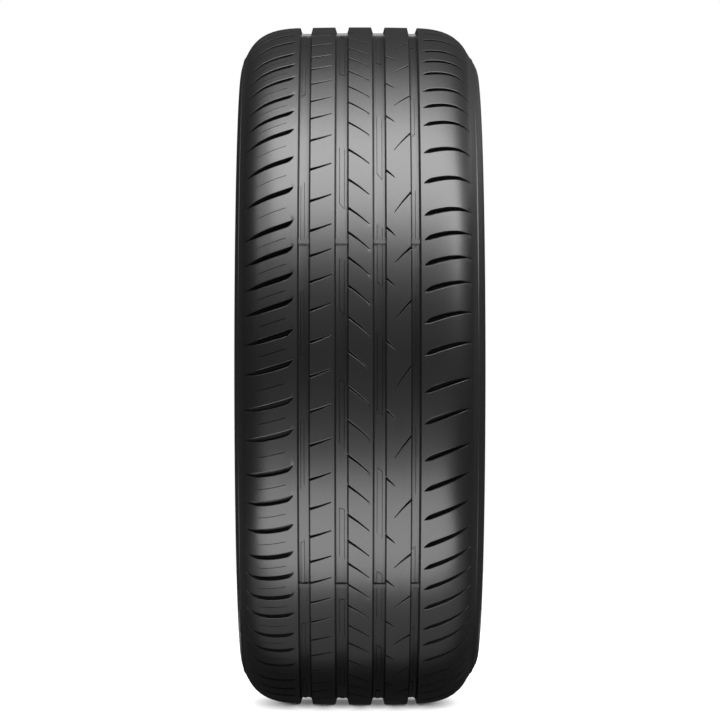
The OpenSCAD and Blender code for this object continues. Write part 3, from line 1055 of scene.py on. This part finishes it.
def grain_group() -> bpy.types.NodeTree:
    """The grain of moulded rubber: fine pebbles for the bump, and broad soft patches of colour and gloss.

    The patches' noise less a half, times the mottle, is the swing. The colour is multiplied by one plus
    the swing, and half of the swing is added to the roughness.

    Returns:
        The node group.
    """
    group = bpy.data.node_groups.new("rubber_grain", "ShaderNodeTree")
    for name, kind in (("Vector", "NodeSocketVector"), ("Colour", "NodeSocketColor"),
                       ("Roughness", "NodeSocketFloat"), ("Mottle", "NodeSocketFloat")):
        group.interface.new_socket(name, in_out="INPUT", socket_type=kind)
    for name, kind in (("Colour", "NodeSocketColor"), ("Roughness", "NodeSocketFloat"),
                       ("Height", "NodeSocketFloat")):
        group.interface.new_socket(name, in_out="OUTPUT", socket_type=kind)
    nodes, links = group.nodes, group.links
    inside, outside = nodes.new("NodeGroupInput"), nodes.new("NodeGroupOutput")
    pebbles, patches = nodes.new("ShaderNodeTexNoise"), nodes.new("ShaderNodeTexNoise")
    pebbles.inputs["Scale"].default_value = PEBBLE_SCALE
    pebbles.inputs["Detail"].default_value = 3
    patches.inputs["Scale"].default_value = PATCH_SCALE
    patches.inputs["Detail"].default_value = 4
    centred = math_node(nodes, "SUBTRACT", 0.5)
    swing = math_node(nodes, "MULTIPLY")
    shade = math_node(nodes, "ADD", 1.0)
    half_swing = math_node(nodes, "MULTIPLY", 0.5)
    gloss = math_node(nodes, "ADD")
    tint = nodes.new("ShaderNodeVectorMath")
    tint.operation = "MULTIPLY"
    links.new(inside.outputs["Vector"], pebbles.inputs["Vector"])
    links.new(inside.outputs["Vector"], patches.inputs["Vector"])
    links.new(patches.outputs["Fac"], centred.inputs[0])
    links.new(centred.outputs[0], swing.inputs[0])
    links.new(inside.outputs["Mottle"], swing.inputs[1])
    links.new(swing.outputs[0], shade.inputs[0])
    links.new(swing.outputs[0], half_swing.inputs[0])
    links.new(half_swing.outputs[0], gloss.inputs[0])
    links.new(inside.outputs["Roughness"], gloss.inputs[1])
    links.new(inside.outputs["Colour"], tint.inputs[0])
    links.new(shade.outputs[0], tint.inputs[1])
    links.new(tint.outputs["Vector"], outside.inputs["Colour"])
    links.new(gloss.outputs[0], outside.inputs["Roughness"])
    links.new(pebbles.outputs["Fac"], outside.inputs["Height"])
    return group


@dataclass(frozen=True)
class SoftBox:
    """A flat rectangular lamp out of the camera's sight, turned about X and then Y from facing down.

    place and size are in metres.
    """

    name: str
    place: Numbers
    turns: Numbers
    size: Numbers
    watts: float

    def build(self) -> None:
        """Makes the lamp."""
        data = bpy.data.lights.new(self.name, "AREA")
        data.shape = "RECTANGLE"
        data.size, data.size_y = self.size
        data.energy = self.watts
        lamp = bpy.data.objects.new(self.name, data)
        lamp.location = self.place
        lamp.rotation_euler = (math.radians(self.turns[0]), math.radians(self.turns[1]), 0)
        lamp.visible_camera = False
        bpy.context.scene.collection.objects.link(lamp)


@dataclass(frozen=True)
class Studio:
    """The floor, the white surroundings, the lamps and the camera.

    Its sizes are in metres, apart from pixel_mm. shadow_reach is how near the tyre has to be to darken the
    floor's painted shadow, and shadow_softness is the power that the floor's openness is raised to. fill
    is the strength of the light from all around.
    """

    floor_z: float
    distance: float = 4.14
    pixel_mm: float = 0.9775
    eye_y: float = -0.008
    eye_z: float = 0.0057
    turn: float = 0.12
    picture: int = 720
    floor_ends: Numbers = (-2.5, 3.4)
    floor_half_w: float = 3.0
    floor_colour: Numbers = (0.35, 0.35, 0.35, 1)
    floor_roughness: float = 0.9
    shadow_reach: float = 0.016
    shadow_softness: float = 0.4
    shadow_samples: int = 16
    fill: float = 0.035
    lamps: tuple[SoftBox, ...] = (
        SoftBox("overhead_box", (0.87, 1.15, 1.8), (0, 24), (1.6, 4.3), 150),
        SoftBox("left_overhead_box", (0.87, -1.9, 1.8), (0, 24), (1.6, 1.4), 18),
        SoftBox("back_overhead_box", (-0.2, 0, 1.95), (0, 0), (0.6, 3.0), 8),
        SoftBox("near_floor_box", (0.447, -0.03, -0.32), (0, 180), (0.306, 0.6), 2.1),
        SoftBox("far_floor_box", (1.0, 0, -0.32), (0, 180), (0.8, 1.6), 1.4),
        SoftBox("under_floor_box", (0.225, -0.03, -0.32), (0, 180), (0.13, 0.7), 0.08),
        SoftBox("right_wall_box", (-1.2, 1.3, 0.74), (-90, 0), (3.2, 0.28), 2.3),
        SoftBox("back_wall_box", (-1.1, 0, 0), (0, -90), (0.6, 0.2), 2.4),
        SoftBox("back_floor_box", (-0.6, 0, -0.32), (0, 180), (0.5, 0.6), 3.4),
    )

    def floor(self) -> None:
        """Lays a floor that renders white, with a narrow soft shadow where the tyre comes close to it.

        To the camera the floor gives off its openness raised to the softness, and to all else nothing.
        That glow carries a painted shadow, which darkens it near the tyre, on top of the real shadow that
        the lamps cast on the floor's grey diffuse surface.
        """
        back, front = self.floor_ends
        side = self.floor_half_w
        corners = [(back, -side, self.floor_z), (front, -side, self.floor_z), (front, side, self.floor_z),
                   (back, side, self.floor_z)]
        mesh = bpy.data.meshes.new("studio_floor")
        mesh.from_pydata(corners, [], [(0, 1, 2, 3)])
        floor = bpy.data.objects.new("studio_floor", mesh)
        bpy.context.scene.collection.objects.link(floor)
        material = bpy.data.materials.new("studio_floor")
        material.use_nodes = True
        nodes, links = material.node_tree.nodes, material.node_tree.links
        shader = nodes["Principled BSDF"]
        shader.inputs["Base Color"].default_value = self.floor_colour
        shader.inputs["Roughness"].default_value = self.floor_roughness
        shader.inputs["Specular IOR Level"].default_value = 0.0
        shader.inputs["Emission Color"].default_value = (1, 1, 1, 1)
        ray = nodes.new("ShaderNodeLightPath")
        # painted shadow: the glow that the camera sees is the floor's openness near the tyre, raised to
        # the softness
        near = nodes.new("ShaderNodeAmbientOcclusion")
        near.samples = self.shadow_samples
        near.inputs["Distance"].default_value = self.shadow_reach
        soft = math_node(nodes, "POWER", self.shadow_softness)
        seen = math_node(nodes, "MULTIPLY")
        links.new(near.outputs["AO"], soft.inputs[0])
        links.new(soft.outputs[0], seen.inputs[0])
        links.new(ray.outputs["Is Camera Ray"], seen.inputs[1])
        links.new(seen.outputs[0], shader.inputs["Emission Strength"])
        mesh.materials.append(material)
        floor.visible_glossy = False

    def surroundings(self) -> None:
        """Surrounds the scene with white where the camera sees it, and a soft fill elsewhere."""
        world = bpy.data.worlds.new("studio")
        bpy.context.scene.world = world
        world.use_nodes = True
        nodes, links = world.node_tree.nodes, world.node_tree.links
        background = nodes["Background"]
        background.inputs["Color"].default_value = (1, 1, 1, 1)
        ray = nodes.new("ShaderNodeLightPath")
        level = nodes.new("ShaderNodeMapRange")
        level.inputs["To Min"].default_value = self.fill
        level.inputs["To Max"].default_value = 1.0
        links.new(ray.outputs["Is Camera Ray"], level.inputs["Value"])
        links.new(level.outputs["Result"], background.inputs["Strength"])

    def camera(self) -> None:
        """Stands the camera in front of the tread, level, as the photograph's was.

        The lens makes pixel_mm millimetres at the axle's distance take one pixel of the picture.
        """
        data = bpy.data.cameras.new("camera")
        camera = bpy.data.objects.new("camera", data)
        bpy.context.scene.collection.objects.link(camera)
        camera.location = (self.distance, self.eye_y, self.eye_z)
        camera.rotation_euler = (math.pi / 2, 0, math.pi / 2 - math.radians(self.turn))
        data.sensor_width = 36
        data.lens = data.sensor_width * self.distance / (self.picture * self.pixel_mm * MM)
        bpy.context.scene.camera = camera

    def build(self) -> None:
        """Sets up the whole studio."""
        self.camera()
        self.floor()
        self.surroundings()
        for lamp in self.lamps:
            lamp.build()
        bpy.context.scene.view_settings.view_transform = "Standard"


def section_from_frame() -> Section:
    """Reads the section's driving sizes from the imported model.

    Returns:
        The section.
    """
    seats = [m["dims"]["r_mm"] for m in frame["record"]["mounts"] if m["kind"] == "bore"]
    low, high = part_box(NODE)
    return Section(outer_r=high.z / MM, contact_r=-low.z / MM, half_w=high.y / MM, seat_r=seats[0])


def main() -> None:
    """Builds the tyre's pieces in order, dresses them and sets up the studio."""
    section = section_from_frame()
    grain = grain_group()
    skins = {
        Skin.TREAD: Rubber("tread_rubber", colour=(0.007, 0.007, 0.0075), roughness=0.38, grain=0.25,
                           mottle=0.12, specular=0.8),
        Skin.SIDEWALL: Rubber("sidewall_rubber", colour=(0.009, 0.009, 0.0095), roughness=0.44, grain=0.2,
                              mottle=0.12, specular=0.7),
        Skin.LINER: Rubber("liner_rubber", colour=(0.016, 0.016, 0.017), roughness=0.62, grain=0.35,
                           mottle=0.15),
    }
    finishes = {skin: rubber.build(grain) for skin, rubber in skins.items()}
    moulding = TyreBody(section).build()
    for skin in Skin:
        moulding.data.materials.append(finishes[skin])
    bars = WearBars(section).build()
    pads = FloorPads(section).build()
    for piece in (bars, pads):
        piece.data.materials.append(finishes[Skin.TREAD])
    for piece in (moulding, bars, pads):
        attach(piece, BODY)
        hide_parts(NODE)
        mesh = piece.data
        log.info("%s: %d vertices, %d faces", piece.name, len(mesh.vertices), len(mesh.polygons))
    Studio(floor_z=CAD_LOW[2]).build()


if __name__ == "__main__":
    logging.basicConfig(level=logging.INFO)
    main()
